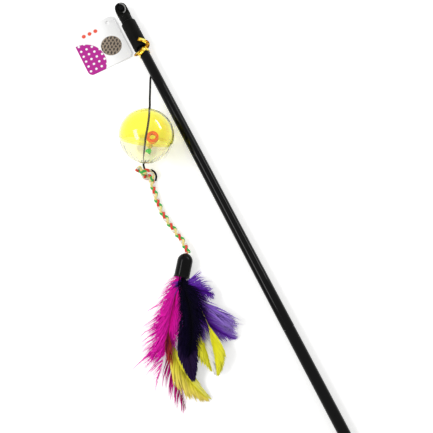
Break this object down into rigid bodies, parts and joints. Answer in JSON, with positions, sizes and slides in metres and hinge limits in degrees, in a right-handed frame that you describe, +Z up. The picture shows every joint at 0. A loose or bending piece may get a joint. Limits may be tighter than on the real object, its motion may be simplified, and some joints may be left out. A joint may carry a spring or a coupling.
{
  "type": "cat teaser wand",
  "caption": "Slim black plug-together rod with a tagged tip cap, an elastic line, a see-through rattle ball, a braided cord and a capped bunch of dyed feathers.",
  "frame": {"origin": "on the table plane, under the middle of the laid-out wand's bounding box", "axes": "+Y along the rod towards its tip, +X from the lure towards the rod, +Z up from the table"},
  "size_m": [0.106, 0.5, 0.04],
  "materials": {
    "tube_black": "glossy",
    "vinyl_black": "satin",
    "elastic_black": "fine braided cover",
    "foil_gold": "bright foil",
    "card_white": "smooth printed card",
    "nylon_clear": "clear",
    "shell_yellow": "clear, tinted",
    "shell_clear": "clear",
    "bead_yellow": "glossy",
    "bead_green": "glossy",
    "bead_orange": "glossy",
    "braid_mixed": "braided yarn",
    "cap_black": "glossy",
    "glue_clear": "clear, yellowish",
    "feather_pink": "downy barbs",
    "feather_crimson": "stiff vane",
    "feather_violet": "downy barbs",
    "feather_yellow": "slim vane",
    "feather_indigo": "stiff vane"
  },
  "bodies": {
    "handle": {"handle_tube": "tube_black", "joint_spigot": "tube_black", "butt_cap": "vinyl_black"},
    "tip_section": {"tip_tube": "tube_black", "tip_cap": "vinyl_black", "elastic_stop_knot": "elastic_black", "elastic_tied": "elastic_black", "twist_tie": "foil_gold"},
    "tag": {"tag_card": "card_white", "tag_loop": "nylon_clear"},
    "elastic_line": {"elastic_cord": "elastic_black"},
    "ball": {"ball_cap_yellow": "shell_yellow", "ball_cup_clear": "shell_clear"},
    "bead_orange": {"bead_orange": "bead_orange"},
    "bead_yellow": {"bead_yellow": "bead_yellow"},
    "bead_green": {"bead_green": "bead_green"},
    "braid": {"braid_knot": "braid_mixed", "elastic_tail": "elastic_black", "braided_cord": "braid_mixed"},
    "feathers": {"feather_cap": "cap_black", "braid_end": "braid_mixed", "glue_plug": "glue_clear", "feather_crimson_long": "feather_crimson", "feather_violet_long": "feather_violet", "feather_yellow_left": "feather_yellow", "feather_yellow_right": "feather_yellow", "feather_crimson_short": "feather_crimson", "feather_yellow_middle": "feather_yellow", "feather_pink": "feather_pink", "feather_violet_short": "feather_violet", "feather_indigo_stiff": "feather_indigo", "feather_indigo_fluffy": "feather_indigo"}
  },
  "joints": [
    {"name": "section_pull", "type": "slide", "parent": "handle", "child": "tip_section", "axis": [0, 1, 0], "range_m": [0, 0.028]},
    {"name": "tag_swing", "type": "hinge", "parent": "tip_section", "child": "tag", "pos_m": [0.04721, 0.23535, 0.00585], "axis": [0, 1, 0], "range_deg": [0, 120]},
    {"name": "lure_swing", "type": "hinge", "parent": "tip_section", "child": "elastic_line", "pos_m": [0.04628, 0.1901, 0.00079], "axis": [0, 0, 1], "range_deg": [-60, 2]},
    {"name": "ball_spin", "type": "hinge", "parent": "elastic_line", "child": "ball", "pos_m": [0.01911, 0.1369, 0.02], "axis": [0.5237, 0.7208, 0.454], "continuous": true},
    {"name": "bead_orange_roll", "type": "hinge", "parent": "ball", "child": "bead_orange", "pos_m": [0.01911, 0.1369, 0.02], "axis": [0.5237, 0.7208, 0.454], "continuous": true},
    {"name": "bead_yellow_roll", "type": "hinge", "parent": "ball", "child": "bead_yellow", "pos_m": [0.01911, 0.1369, 0.02], "axis": [0.5237, 0.7208, 0.454], "continuous": true},
    {"name": "bead_green_roll", "type": "hinge", "parent": "ball", "child": "bead_green", "pos_m": [0.01911, 0.1369, 0.02], "axis": [0.5237, 0.7208, 0.454], "continuous": true},
    {"name": "braid_swing", "type": "hinge", "parent": "elastic_line", "child": "braid", "pos_m": [0.00756, 0.11985, 0.00795], "axis": [0, 0, 1], "range_deg": [-30, 3]},
    {"name": "feather_swing", "type": "hinge", "parent": "braid", "child": "feathers", "pos_m": [0.00838, 0.0511, 0.0059], "axis": [0, 0, 1], "range_deg": [-45, 6]}
  ]
}
